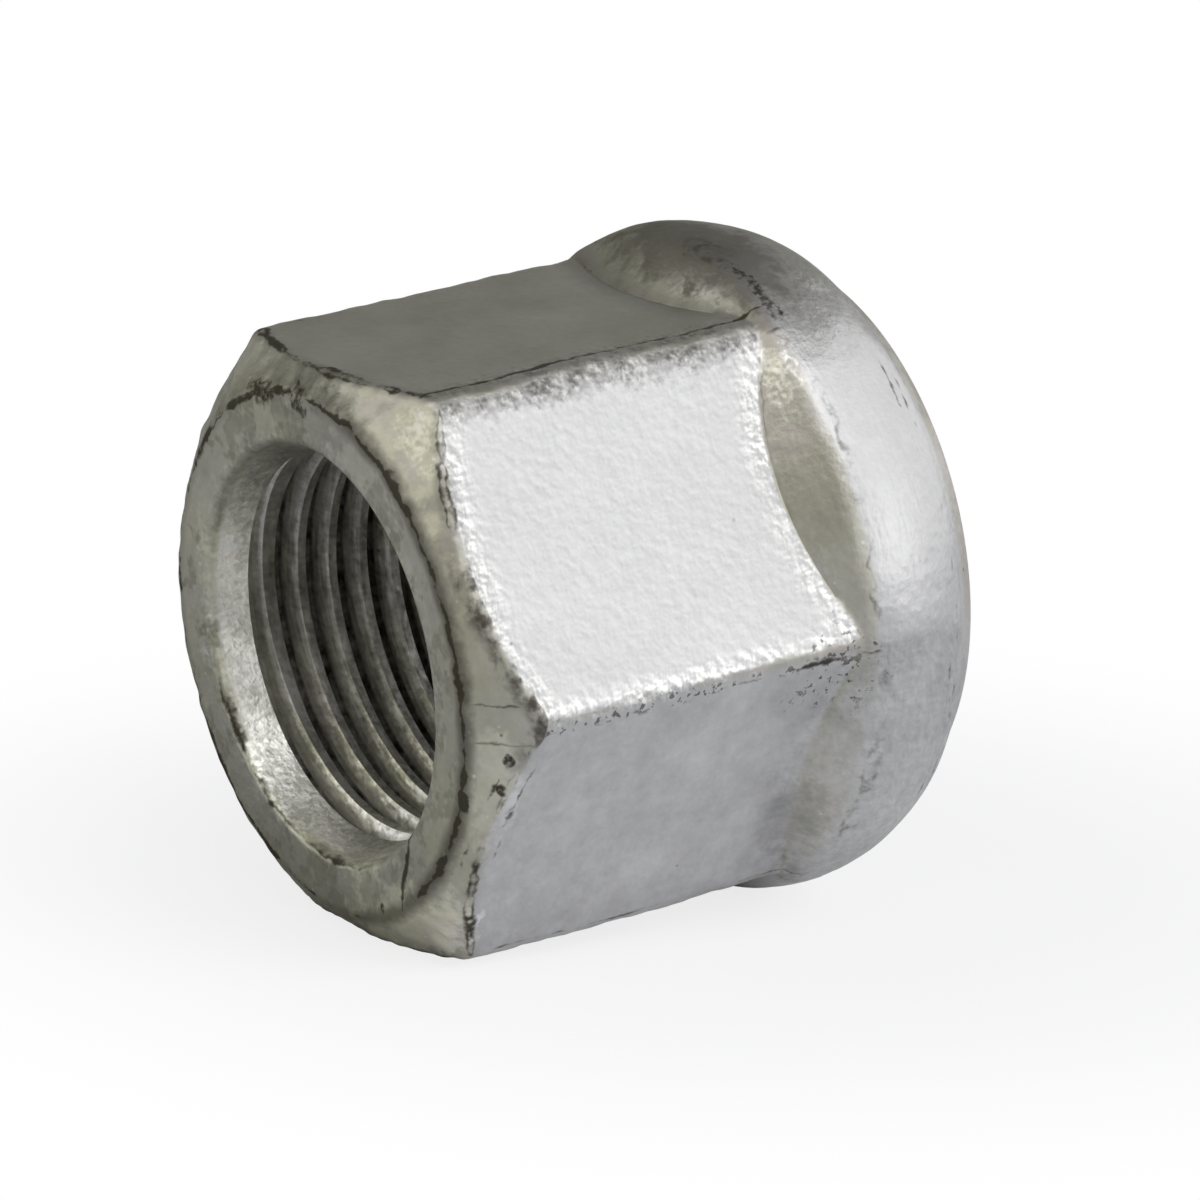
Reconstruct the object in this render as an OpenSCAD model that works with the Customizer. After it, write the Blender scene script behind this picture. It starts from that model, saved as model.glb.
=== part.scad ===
// Wheel nut with a hexagon body, a domed collar and a ball seat, in millimetres.
// The thread axis runs along Y: the wrench end faces -Y and the ball seat +Y.
// The origin lies on the axis, in the plane where the ball seat leaves the collar.

/* [Hexagon] */
// Width across the flats
across_flats = 24; // [17:0.5:36]
// Width across the turned corners
across_corners = 27.3; // [18:0.1:41]
// Distance from the wrench end face to the ball seat plane
body_length = 22.8; // [16:0.1:40]

/* [Wrench end] */
// Diameter of the flat end face
face_diameter = 21.9; // [16:0.1:34]
// Chamfer angle, measured from the end face
chamfer_angle = 38; // [15:1:45]

/* [Collar] */
// Largest diameter of the domed collar
collar_diameter = 28.24; // [24:0.02:44]
// Distance from the wrench end face to the widest point of the collar
crown_position = 19.4; // [12:0.1:36]
// Radius of the dome seen in section
dome_radius = 6; // [3:0.5:20]
// Distance from the wrench end face to the foot of the shoulder on a flat
shoulder_start = 15.95; // [8:0.05:32]
// Angle between the shoulder cone and the axis
shoulder_angle = 46; // [30:1:60]
// Diameter at which the shoulder cone meets the collar
shoulder_diameter = 27.9; // [24:0.1:44]

/* [Ball seat] */
// Radius of the ball
ball_radius = 16; // [12:0.5:20]
// Diameter of the seat where it leaves the collar
seat_diameter = 25.7; // [20:0.1:36]
// Length of the seat along the axis
seat_length = 1.6; // [0.8:0.1:8]

/* [Thread] */
// Nominal diameter of the metric fine thread
thread_diameter = 18; // [10:1:24]
// Pitch of the thread
thread_pitch = 1.5; // [1:0.25:2.5]
// Mouth diameter of the lead-in at the wrench end
lead_in_diameter = 17.5; // [10:0.1:26]
// Depth of the lead-in at the wrench end
lead_in_depth = 1.45; // [0.5:0.05:4]
// Mouth diameter of the countersink at the seat end
countersink_diameter = 18.8; // [10:0.1:26]
// Angle of the countersink at the seat end
countersink_angle = 90; // [60:10:120]

/* [View] */
// Part to draw

/* [Hidden] */
$fn = 180;
overlap = 1;
apothem = across_flats / 2;
turned_radius = across_corners / 2;
chamfer_depth = (turned_radius - face_diameter / 2) * tan(chamfer_angle);
nut_length = body_length + seat_length;
// Minor diameter of an ISO metric nut thread
bore_radius = (thread_diameter - 1.0825 * thread_pitch) / 2;
face_radius = face_diameter / 2;
collar_radius = collar_diameter / 2;
dome_centre = collar_radius - dome_radius;
shoulder_radius = shoulder_diameter / 2;
shoulder_end = shoulder_start
             + (shoulder_radius - apothem) / tan(shoulder_angle);
// Start of the shoulder cone inside the hexagon body
shoulder_root_radius = apothem - 2;
shoulder_root = shoulder_start - 2 / tan(shoulder_angle);
seat_radius = seat_diameter / 2;
ball_centre = body_length - sqrt(pow(ball_radius, 2) - pow(seat_radius, 2));
countersink_depth = (countersink_diameter / 2 - bore_radius)
                  / tan(countersink_angle / 2);
steel = [0.72, 0.72, 0.70];

// Stands the axis of a shape drawn along Z into the Y direction and moves
// the ball seat plane to the origin.
module along_thread_axis() {
    rotate([-90, 0, 0]) translate([0, 0, -body_length]) children();
}

// Turned blank of the body: flat end face, chamfer and corner diameter.
module turned_blank() {
    rotate_extrude() polygon([
        [0, 0],
        [face_radius, 0],
        [turned_radius, chamfer_depth],
        [turned_radius, body_length - overlap],
        [0, body_length - overlap]]);
}

// Hexagon body, two of its flats square to the second axis.
module hexagon_body() {
    intersection() {
        cylinder(r = apothem / cos(30), h = body_length - overlap, $fn = 6);
        turned_blank();
    }
}

// Collar: a cone rising out of the flats and a dome over its widest point.
module collar() {
    rotate_extrude() intersection() {
        union() {
            translate([dome_centre, crown_position]) circle(r = dome_radius);
            square([dome_centre, body_length]);
        }
        polygon([
            [0, shoulder_root],
            [shoulder_root_radius, shoulder_root],
            [shoulder_radius, shoulder_end],
            [collar_radius + overlap, shoulder_end],
            [collar_radius + overlap, body_length],
            [0, body_length]]);
    }
}

// Zone of the ball that seats in the wheel.
module ball_seat() {
    intersection() {
        translate([0, 0, ball_centre]) sphere(r = ball_radius);
        translate([0, 0, body_length - overlap])
            cylinder(r = seat_radius, h = seat_length + overlap);
    }
}

// Threaded hole at its minor diameter, with a lead-in at each end.
module threaded_hole() {
    rotate_extrude() polygon([
        [0, -overlap],
        [lead_in_diameter / 2, -overlap],
        [lead_in_diameter / 2, 0],
        [bore_radius, lead_in_depth],
        [bore_radius, nut_length - countersink_depth],
        [countersink_diameter / 2, nut_length],
        [countersink_diameter / 2, nut_length + overlap],
        [0, nut_length + overlap]]);
}

module wheel_nut() {
    color(steel) along_thread_axis() difference() {
        union() {
            hexagon_body();
            collar();
            ball_seat();
        }
        threaded_hole();
    }
}

wheel_nut();
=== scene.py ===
"""Visual model of a wheel nut with a hexagon body, a domed collar and a ball seat.

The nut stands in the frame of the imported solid: the thread axis is Y, the wrench end
faces -Y and the ball seat +Y. Lengths in the classes are millimetres along that axis
and across it; the meshes are in metres.
"""

from __future__ import annotations

import logging
import math
from collections.abc import Callable, Iterator, Sequence
from contextlib import contextmanager
from dataclasses import dataclass, field
from enum import Enum
from functools import reduce

import bpy
from mathutils import Matrix, Vector


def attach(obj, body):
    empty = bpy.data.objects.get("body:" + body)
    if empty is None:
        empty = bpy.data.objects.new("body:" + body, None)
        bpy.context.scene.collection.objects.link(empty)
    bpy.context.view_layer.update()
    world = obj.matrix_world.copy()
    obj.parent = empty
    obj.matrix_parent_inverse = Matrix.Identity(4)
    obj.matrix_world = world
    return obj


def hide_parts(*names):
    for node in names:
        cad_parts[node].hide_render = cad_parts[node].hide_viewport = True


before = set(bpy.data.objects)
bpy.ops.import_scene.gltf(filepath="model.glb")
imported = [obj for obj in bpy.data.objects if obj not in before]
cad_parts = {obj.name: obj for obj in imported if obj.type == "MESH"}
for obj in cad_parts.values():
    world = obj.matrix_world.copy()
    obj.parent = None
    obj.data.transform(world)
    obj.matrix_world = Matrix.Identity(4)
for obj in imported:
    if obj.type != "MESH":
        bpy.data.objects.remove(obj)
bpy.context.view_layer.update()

LOG = logging.getLogger("wheel_nut")
MM = 0.001
COS_30 = 0.8660
NUT_MIDDLE = (0.0, -11.0, 0.0)
Point = tuple[float, float]
Place = tuple[float, float, float]
Colour = tuple[float, float, float]
Object = bpy.types.Object
Tree = bpy.types.NodeTree
Socket = bpy.types.NodeSocket


class Hand(Enum):
    """Which way a thread winds, as the sign of its turn about +Y."""

    RIGHT = 1
    LEFT = -1


class Ray(Enum):
    """Outputs of the Light Path node that a white background answers to."""

    CAMERA = "Is Camera Ray"
    GLOSSY = "Is Glossy Ray"
    TRANSMISSION = "Is Transmission Ray"


# ---------------------------------------------------------------- modelling by operators


def radius_of(co: Vector) -> float:
    """Return how far a place in metres is from the axis, in mm."""
    return math.hypot(co.x, co.z) / MM


def deselect_all() -> None:
    """Leave object mode's selection empty."""
    bpy.ops.object.select_all(action="DESELECT")


def activate(obj: Object) -> None:
    """Make one object the only selected and the active one.

    Args:
        obj: The object the next operators work on.
    """
    deselect_all()
    obj.select_set(True)
    bpy.context.view_layer.objects.active = obj


@contextmanager
def editing(obj: Object) -> Iterator[None]:
    """Open an object in edit mode, to select vertices, and close it again.

    Args:
        obj: The mesh object to edit.

    Yields:
        Nothing; the object is in edit mode meanwhile.
    """
    activate(obj)
    bpy.ops.object.mode_set(mode="EDIT")
    bpy.ops.mesh.select_mode(type="VERT")
    try:
        yield
    finally:
        bpy.ops.object.mode_set(mode="OBJECT")


def select_only(obj: Object, kind: str, chosen: Sequence[bool]) -> None:
    """Select some vertices or edges of an object and nothing else.

    Args:
        obj: The mesh object, in edit mode or object mode; it ends in edit mode.
        kind: Name of the mesh's list, vertices or edges.
        chosen: Whether each item of that list is selected.
    """
    bpy.ops.object.mode_set(mode="OBJECT")
    for name in ("polygons", "edges", "vertices"):
        items = getattr(obj.data, name)
        items.foreach_set("select", chosen if name == kind else [False] * len(items))
    bpy.ops.object.mode_set(mode="EDIT")


def select_where(obj: Object, test: Callable[[Vector], bool]) -> None:
    """Select, in edit mode, the vertices whose places in metres pass a test."""
    bpy.ops.object.mode_set(mode="OBJECT")
    select_only(obj, "vertices", [test(v.co) for v in obj.data.vertices])


def select_edges(obj: Object, test: Callable[[Vector, Vector], bool]) -> None:
    """Select the edges of an object in edit mode by the places of their ends.

    Args:
        obj: The mesh object, in edit mode.
        test: Says for the two ends in metres whether the edge is selected.
    """
    bpy.ops.object.mode_set(mode="OBJECT")
    places = [v.co.copy() for v in obj.data.vertices]
    select_only(obj, "edges", [test(*(places[i] for i in e.vertices)) for e in obj.data.edges])


def add_modifier(obj: Object, kind: str, **settings: object) -> None:
    """Add a modifier, set it and apply it.

    Args:
        obj: The object to change, in object mode.
        kind: Blender's name of the modifier type.
        **settings: Values for the modifier's properties.
    """
    activate(obj)
    modifier = obj.modifiers.new(kind.title(), kind)
    for name, value in settings.items():
        setattr(modifier, name, value)
    bpy.ops.object.modifier_apply(modifier=modifier.name)


def remove(obj: Object) -> None:
    """Delete a helper object with its mesh.

    Args:
        obj: The helper.
    """
    mesh = obj.data
    bpy.data.objects.remove(obj)
    bpy.data.meshes.remove(mesh)


def rounded(profile: Sequence[Place], turns: int = 4) -> list[Point]:
    """Round the corners of an open profile.

    Args:
        profile: Radius, station and corner radius of each point, all in mm.
        turns: Number of facets in each rounded corner.

    Returns:
        Pairs of radius and station with an arc in place of each corner that has a radius.
    """
    points: list[Point] = []
    last = len(profile) - 1
    for index, (radius, station, corner) in enumerate(profile):
        if corner == 0 or index in (0, last):
            points.append((radius, station))
            continue
        here = Vector((radius, station))
        before = (Vector(profile[index - 1][:2]) - here).normalized()
        after = (Vector(profile[index + 1][:2]) - here).normalized()
        half = before.angle(after) / 2
        centre = here + (before + after).normalized() * corner / math.sin(half)
        first = here + before * corner / math.tan(half) - centre
        final = here + after * corner / math.tan(half) - centre
        for step in range(turns + 1):
            spoke = first.lerp(final, step / turns).normalized() * corner
            points.append(tuple(centre + spoke))
    return points


def spread(start: Point, end: Point, count: int) -> list[Point]:
    """Divide a stretch into equal parts and return all places but the first."""
    across, along = end[0] - start[0], end[1] - start[1]
    return [(start[0] + across * k / count, start[1] + along * k / count) for k in range(1, count + 1)]


@dataclass
class RingLoft:
    """A tube of rings about the Y axis, drawn out ring by ring.

    The selected vertices are always the last ring.

    Attributes:
        obj: The mesh object being drawn.
        radius: Radius of the last ring in mm, where it is a circle.
        station: Place of the last ring along the axis in mm.
    """

    obj: Object
    radius: float
    station: float

    @classmethod
    def start(cls, name: str, count: int, radius: float, station: float) -> RingLoft:
        """Add the first ring.

        Args:
            name: Name of the new object.
            count: Number of vertices round a ring.
            radius: Radius of the ring in mm.
            station: Place along the axis in mm.

        Returns:
            The loft, in edit mode, with its first ring selected.
        """
        deselect_all()
        bpy.ops.mesh.primitive_circle_add(
            vertices=count,
            radius=radius * MM,
            location=(0, station * MM, 0),
            rotation=(math.pi / 2, 0, 0),
        )
        obj = bpy.context.active_object
        obj.name = name
        bpy.ops.object.transform_apply(location=True, rotation=True, scale=True)
        bpy.ops.object.mode_set(mode="EDIT")
        bpy.ops.mesh.select_mode(type="VERT")
        return cls(obj, radius, station)

    def extrude(self, along: float = 0.0) -> None:
        """Draw a new ring out of the last one, moved along Y by a distance in mm."""
        bpy.ops.mesh.extrude_region_move(TRANSFORM_OT_translate={"value": (0, along * MM, 0)})
        self.station += along

    def to(self, *points: Point) -> None:
        """Draw circles through the points of a profile.

        Args:
            *points: Pairs of radius and station in mm.
        """
        for radius, station in points:
            self.extrude(station - self.station)
            ratio = radius / self.radius
            bpy.ops.transform.resize(value=(ratio, 1, ratio), center_override=(0, 0, 0))
            self.radius = radius

    def make_circle(self, radius: float, station: float) -> None:
        """Turn the selected ring into a flat circle.

        Args:
            radius: Radius in mm.
            station: Place along the axis in mm.
        """
        centre = (0, station * MM, 0)
        bpy.ops.transform.resize(value=(1, 0, 1), center_override=centre)
        bpy.ops.transform.tosphere(value=1)
        bpy.ops.object.mode_set(mode="OBJECT")
        ring = [v.co for v in self.obj.data.vertices if v.select]
        mean = sum(radius_of(co) for co in ring) / len(ring)
        bpy.ops.object.mode_set(mode="EDIT")
        ratio = radius / mean
        bpy.ops.transform.resize(value=(ratio, 1, ratio), center_override=centre)
        self.radius, self.station = radius, station


# ---------------------------------------------------------------------------- the nut


@dataclass
class Thread:
    """Internal metric thread, made as the coil of metal that the tap takes out.

    Attributes:
        nominal: Nominal diameter in mm.
        pitch: Pitch in mm.
        hand: Way the thread winds.
        entry: Station of the first full turn in mm.
        exit: Station where the coil has left the nut in mm.
        overlap: How far the coil stands out into the hole in mm.
        steps: Facets in one turn.
        run_in: Turns over which the groove reaches its depth.
    """

    nominal: float = 18.0
    pitch: float = 1.5
    hand: Hand = Hand.LEFT
    entry: float = -21.1
    exit: float = 2.4
    overlap: float = 0.3
    steps: int = 120
    run_in: float = 0.5

    @property
    def minor_radius(self) -> float:
        """Radius of the thread's crests in mm."""
        sharp_height = self.pitch * math.sqrt(3) / 2
        return self.nominal / 2 - sharp_height * 5 / 8

    def groove(self) -> list[Point]:
        """Draw the groove's section.

        Returns:
            Pairs of radius and station in mm.
        """
        root, flat = self.nominal / 2, self.pitch / 16
        inner = self.minor_radius - self.overlap
        half = flat + (root - inner) * math.tan(math.radians(30))
        return [(inner, -half), (root, -flat), (root, flat), (inner, half)]

    def build(self) -> Object:
        """Wind the coil.

        Returns:
            The closed coil, to be cut out of a body.
        """
        section = self.groove()
        deselect_all()
        bpy.ops.mesh.primitive_circle_add(vertices=len(section), radius=MM)
        coil = bpy.context.active_object
        coil.name = "thread_coil"
        for vertex, (radius, station) in zip(coil.data.vertices, section):
            vertex.co = (0, (self.entry + station) * MM, radius * MM)
        add_modifier(
            coil,
            "SCREW",
            axis="Y",
            angle=math.tau * self.hand.value,
            screw_offset=self.pitch * MM,
            iterations=math.ceil((self.exit - self.entry) / self.pitch),
            steps=self.steps,
            render_steps=self.steps,
            use_merge_vertices=False,
            use_normal_calculate=True,
        )
        self.close_ends(coil)
        self.taper(coil, len(section))
        return coil

    def close_ends(self, coil: Object) -> None:
        """Cap the two open ends of the coil and turn its faces outwards.

        Args:
            coil: The coil, in object mode.
        """
        with editing(coil):
            bpy.ops.mesh.select_all(action="SELECT")
            bpy.ops.mesh.remove_doubles(threshold=1e-7)
            bpy.ops.mesh.select_all(action="DESELECT")
            bpy.ops.mesh.select_non_manifold(extend=False, use_wire=False, use_boundary=True)
            bpy.ops.mesh.edge_face_add()
            bpy.ops.mesh.select_all(action="SELECT")
            bpy.ops.mesh.normals_make_consistent(inside=False)

    def taper(self, coil: Object, section: int) -> None:
        """Shrink the first turns towards the crests, so the groove runs in gently.

        Args:
            coil: The coil, in object mode.
            section: Number of vertices in the groove's section.
        """
        run = round(self.run_in * self.steps)
        root, inner = self.nominal / 2, self.minor_radius - self.overlap
        indices = range(len(coil.data.vertices))
        with editing(coil):
            for step in range(run):
                first = step * section
                select_only(coil, "vertices", [first <= i < first + section for i in indices])
                depth = math.sin(math.pi / 2 * step / run)
                ratio = (inner + (root - inner) * depth) / root
                bpy.ops.transform.resize(value=(ratio, 1, ratio), center_override=(0, 0, 0))


@dataclass(frozen=True)
class Swell:
    """Unevenness of the forged outside, pressed into the mesh.

    Attributes:
        size: Size of the swells in mm.
        height: Full height between hollow and swell in mm.
        depth: Octaves of finer swells.
        edges: Only work on the chamfer and the creases.
        reach: Distance in mm from those at which the swells have gone.
        seat: Station of the turned seat, which has none.
        hole: Radius round the turned hole, which has none.
    """

    size: float
    height: float
    depth: int = 0
    edges: bool = False
    reach: float = 0.7
    seat: float = -0.3
    hole: float = 8.9

    def share(self, nut: WheelNut, co: Vector) -> float:
        """Return how much of the height a place takes.

        Args:
            nut: Sizes of the nut.
            co: The place in metres.

        Returns:
            A number from 0 to 1.
        """
        radius, station = radius_of(co), co.y / MM
        if station > self.seat or radius < self.hole:
            return 0.0
        if not self.edges:
            return min(1.0, (self.seat - station) / 1.5, radius - self.hole)
        gaps = [math.inf]
        if radius > nut.face_radius + 0.05:
            gaps.append(abs(station - nut.chamfer_at(radius)[1]))
        if station < -5 and radius > 12.9:
            tilted = (abs(co.x * COS_30 + co.z * sign) for sign in (0.5, -0.5))
            gaps.append(min(abs(co.z), *tilted) / MM / COS_30)
        if station < nut.face + 0.8:
            gaps.append(abs(radius - nut.face_radius))
        return max(0.0, 1.0 - min(gaps) / self.reach)

    def press(self, nut: WheelNut, obj: Object) -> None:
        """Displace the mesh.

        Args:
            nut: Sizes of the nut.
            obj: The nut's object, in object mode.
        """
        group = obj.vertex_groups.new(name="forged")
        for vertex in obj.data.vertices:
            share = self.share(nut, vertex.co)
            if share:
                group.add([vertex.index], share, "REPLACE")
        texture = bpy.data.textures.new("forging", "CLOUDS")
        texture.noise_scale, texture.noise_depth = self.size * MM, self.depth
        add_modifier(
            obj,
            "DISPLACE",
            texture=texture,
            texture_coords="LOCAL",
            strength=self.height * MM,
            mid_level=0.5,
            vertex_group=group.name,
        )
        obj.vertex_groups.clear()
        bpy.data.textures.remove(texture)


@dataclass
class WheelNut:
    """The whole nut: hexagon, collar, ball seat and threaded hole in one piece.

    Every station is in mm along Y, from the plane where the ball seat leaves the collar.

    Attributes:
        apothem: Half the width across the flats.
        corner: Largest radius of the hexagon's corners before they are rounded.
        face_radius: Outer radius of the flat end face.
        face: Station of the end face.
        chamfer_angle: Angle of the chamfer to the end face, in degrees.
        shoulder: Station where the shoulder cone leaves a flat.
        shoulder_rise: Advance of the shoulder cone for a millimetre of radius.
        shoulder_top: Radius and station where the shoulder meets the dome.
        dome: Radius and station of the centre of the dome's arc.
        dome_radius: Radius of the dome's arc.
        dome_steps: Facets of the dome's arc.
        dome_end: Radius at which the dome ends, in the plane of the seat.
        seat_start: Radius at which the ball seat starts, in the same plane.
        ball: Radius of the ball and station of its centre.
        end: Station of the seat end.
        mouth: Radius of the lead-in at the wrench end.
        lead_in: Depth of the lead-in.
        countersink: Radius of the countersink at the seat end.
        edge_radius: Width of the rounding where the chamfer meets a flat.
        corner_smoothing: Passes that round the corners of the hexagon.
        ridge_smoothing: Passes that round the ridge between shoulder and dome.
        foot_smoothing: Passes that blend the shoulder's foot into the lower flats.
        count: Vertices round the nut.
        thread: The thread.
        swells: The unevenness of the forged surface.
    """

    apothem: float = 12.0
    corner: float = 13.95
    face_radius: float = 10.95
    face: float = -22.8
    chamfer_angle: float = 38.0
    shoulder: float = -6.85
    shoulder_rise: float = 0.966
    shoulder_top: Point = (13.9, -5.0)
    dome: Point = (8.12, -3.4)
    dome_radius: float = 6.0
    dome_steps: int = 14
    dome_end: float = 13.08
    seat_start: float = 12.85
    ball: Point = (16.0, -9.533)
    end: float = 1.6
    mouth: float = 8.8
    lead_in: float = 1.9
    countersink: float = 9.4
    edge_radius: float = 0.22
    corner_smoothing: int = 32
    ridge_smoothing: int = 4
    foot_smoothing: int = 9
    count: int = 480
    thread: Thread = field(default_factory=Thread)
    swells: tuple[Swell, ...] = (
        Swell(4.0, 0.16),
        Swell(1.3, 0.07, depth=1),
        Swell(0.8, 0.13, edges=True),
    )

    @property
    def bore(self) -> float:
        """Radius of the hole before the thread is cut, in mm."""
        return self.thread.minor_radius

    @property
    def chamfer_rise(self) -> float:
        """Advance of the chamfer's cone for a millimetre of radius."""
        return math.tan(math.radians(self.chamfer_angle))

    def chamfer_at(self, radius: float) -> Point:
        """Return radius and station of the chamfer's cone at a radius."""
        return radius, self.face + (radius - self.face_radius) * self.chamfer_rise

    def shoulder_at(self, radius: float) -> Point:
        """Return radius and station of the shoulder's cone at a radius."""
        return radius, self.shoulder + (radius - self.apothem) * self.shoulder_rise

    def ball_at(self, station: float) -> Point:
        """Return radius and station of the ball seat at a station."""
        size, middle = self.ball
        return math.sqrt(size**2 - (station - middle) ** 2), station

    def on_front_rim(self, co: Vector) -> bool:
        """Say whether a vertex is on the rim between chamfer and hexagon."""
        return co.y < -19 * MM and radius_of(co) > 11.9

    def on_back_rim(self, co: Vector) -> bool:
        """Say whether a vertex is on the rim between hexagon and shoulder."""
        return abs(co.y + 5.9 * MM) < 0.96 * MM and radius_of(co) < 13.8

    def on_ridge(self, co: Vector) -> bool:
        """Say whether a vertex is near the ridge between shoulder and dome."""
        return -1.0 < co.y / MM - self.shoulder_top[1] < 1.3 and radius_of(co) > 12.7

    def on_low_foot(self, co: Vector) -> bool:
        """Say whether a vertex is near the foot of the shoulder, on the lower side of +X."""
        return -1.4 < co.y / MM - self.shoulder < 1.5 and co.x > 6.5 * MM and co.z < -0.8 * MM

    def project_on(self, obj: Object, low: Point, high: Point) -> None:
        """Slide the selected ring along the axis on to a cone.

        Args:
            obj: The mesh object, in edit mode.
            low: Radius and station of the cone's narrow rim in mm.
            high: Radius and station of its wide rim in mm.
        """
        bpy.ops.object.mode_set(mode="OBJECT")
        group = obj.vertex_groups.new(name="ring")
        group.add([v.index for v in obj.data.vertices if v.select], 1.0, "REPLACE")
        deselect_all()
        bpy.ops.mesh.primitive_cone_add(
            vertices=719,
            radius1=low[0] * MM,
            radius2=high[0] * MM,
            depth=(high[1] - low[1]) * MM,
            end_fill_type="NOTHING",
            location=(0, (low[1] + high[1]) / 2 * MM, 0),
            rotation=(-math.pi / 2, 0, 0),
        )
        cone = bpy.context.active_object
        bpy.ops.object.transform_apply(location=True, rotation=True, scale=True)
        add_modifier(
            obj,
            "SHRINKWRAP",
            target=cone,
            wrap_method="PROJECT",
            use_project_y=True,
            use_negative_direction=True,
            use_positive_direction=True,
            vertex_group=group.name,
        )
        remove(cone)
        activate(obj)
        obj.vertex_groups.clear()
        bpy.ops.object.mode_set(mode="EDIT")

    def draw_hexagon(self, loft: RingLoft) -> None:
        """Flatten the first ring on the six sides and round its corners.

        Args:
            loft: The loft, with its first ring selected.
        """
        side = self.apothem * MM
        for _ in range(6):
            select_where(loft.obj, lambda co: co.z > side)
            bpy.ops.transform.resize(value=(1, 1, 0), center_override=(0, 0, side))
            bpy.ops.mesh.select_all(action="SELECT")
            bpy.ops.transform.rotate(value=math.tau / 6, orient_axis="Y", center_override=(0, 0, 0))
        select_where(loft.obj, lambda co: radius_of(co) > self.apothem * 1.09)
        bpy.ops.mesh.vertices_smooth(factor=0.5, repeat=self.corner_smoothing)
        bpy.ops.mesh.select_all(action="SELECT")

    def draw_collar(self, loft: RingLoft) -> None:
        """Draw the collar, the ball seat and the hole.

        Args:
            loft: The loft, with the hexagon's back rim selected.
        """
        loft.extrude()
        loft.make_circle(*self.shoulder_top)
        radius, centre = self.dome
        low = math.asin((self.shoulder_top[1] - centre) / self.dome_radius)
        high = math.acos((self.dome_end - radius) / self.dome_radius)
        for step in range(1, self.dome_steps + 1):
            turn = low + (high - low) * step / self.dome_steps
            spoke = self.dome_radius * math.cos(turn), self.dome_radius * math.sin(turn)
            loft.to((radius + spoke[0], centre + spoke[1]))
        loft.to((self.dome_end - 0.1, 0.06), (self.seat_start + 0.05, 0.04))
        loft.to(*(self.ball_at(station) for station in (0.1, 0.3, 0.6, 0.9, 1.2, 1.4)))
        rim = self.ball_at(self.end)[0]
        loft.to((rim - 0.06, self.end - 0.06), (rim - 0.2, self.end))
        loft.to(*spread((rim - 0.2, self.end), (self.countersink + 0.1, self.end), 4))
        loft.to((self.countersink - 0.03, self.end - 0.07))
        throat = self.end - (self.countersink - self.bore)
        loft.to((self.bore + 0.05, throat + 0.05), (self.bore, throat - 0.05))
        loft.to((self.bore, self.face + self.lead_in))

    def draw_wrench_end(self, loft: RingLoft) -> None:
        """Draw the chamfer, the end face and the lead-in.

        Args:
            loft: The loft, with the hexagon's front rim selected.
        """
        start = self.chamfer_at(self.face_radius + 0.3)
        loft.extrude()
        loft.make_circle(*start)
        section = rounded(
            [
                (*start, 0),
                (self.face_radius, self.face, 0.8),
                (self.mouth, self.face, 0.35),
                (self.bore, self.face + self.lead_in, 0),
            ]
        )
        rim, lip, hole = section[1:6], section[6:11], section[11]
        loft.to(*rim, *spread(rim[-1], lip[0], 6), *lip[1:], *spread(lip[-1], hole, 6))

    def add_rows(self, obj: Object, test: Callable[[Vector, Vector], bool], cuts: int) -> None:
        """Add rings to the band of faces whose crossing edges pass a test."""
        select_edges(obj, test)
        bpy.ops.mesh.subdivide_edgering(number_cuts=cuts, interpolation="LINEAR", smoothness=0)

    def soften(self, nut: Object) -> None:
        """Round the hexagon's front rim and divide chamfer, flats and shoulder into rows.

        Args:
            nut: The nut's object, in edit mode.
        """
        front, back = self.on_front_rim, self.on_back_rim
        rim, top = self.face_radius + 0.4, self.shoulder_top[0] - 0.02
        bpy.ops.mesh.select_mode(type="EDGE")
        select_edges(nut, lambda a, b: front(a) and front(b))
        bpy.ops.mesh.bevel(offset=self.edge_radius * MM, segments=3, affect="EDGES")
        self.add_rows(
            nut, lambda a, b: front(a) != front(b) and (radius_of(a) < rim) != (radius_of(b) < rim), 8
        )
        self.add_rows(nut, lambda a, b: abs(a.y - b.y) > 8 * MM and radius_of(a) > 11, 36)
        self.add_rows(
            nut, lambda a, b: back(a) != back(b) and (radius_of(a) > top) != (radius_of(b) > top), 7
        )
        bpy.ops.mesh.select_mode(type="VERT")

    def blend_collar(self, nut: Object) -> None:
        """Smooth the ridge over the shoulder and its foot on the lower flats.

        Args:
            nut: The nut's object, in edit mode.
        """
        rows = (self.on_ridge, self.ridge_smoothing), (self.on_low_foot, self.foot_smoothing)
        for test, passes in rows:
            select_where(nut, test)
            bpy.ops.mesh.vertices_smooth(factor=0.5, repeat=passes)

    def cut_thread(self, nut: Object) -> None:
        """Take the thread's coil out of the wall of the hole.

        Args:
            nut: The nut's object, in object mode.
        """
        coil = self.thread.build()
        add_modifier(nut, "BOOLEAN", object=coil, operation="DIFFERENCE", solver="EXACT")
        remove(coil)

    def build(self) -> Object:
        """Model the nut.

        Returns:
            The finished piece.
        """
        loft = RingLoft.start("wheel_nut_visual", self.count, self.corner, self.face + 2)
        nut = loft.obj
        self.draw_hexagon(loft)
        self.project_on(nut, self.chamfer_at(10.95), self.chamfer_at(14.95))
        loft.extrude(14)
        self.project_on(nut, self.shoulder_at(11), self.shoulder_at(15))
        self.draw_collar(loft)
        select_where(nut, self.on_front_rim)
        self.draw_wrench_end(loft)
        bpy.ops.mesh.select_all(action="SELECT")
        bpy.ops.mesh.remove_doubles(threshold=2e-6)
        bpy.ops.mesh.normals_make_consistent(inside=False)
        self.soften(nut)
        self.blend_collar(nut)
        bpy.ops.object.mode_set(mode="OBJECT")
        for swell in self.swells:
            swell.press(self, nut)
        self.cut_thread(nut)
        activate(nut)
        bpy.ops.object.shade_smooth_by_angle(angle=math.radians(28))
        return nut


# -------------------------------------------------------------------------- materials


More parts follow.
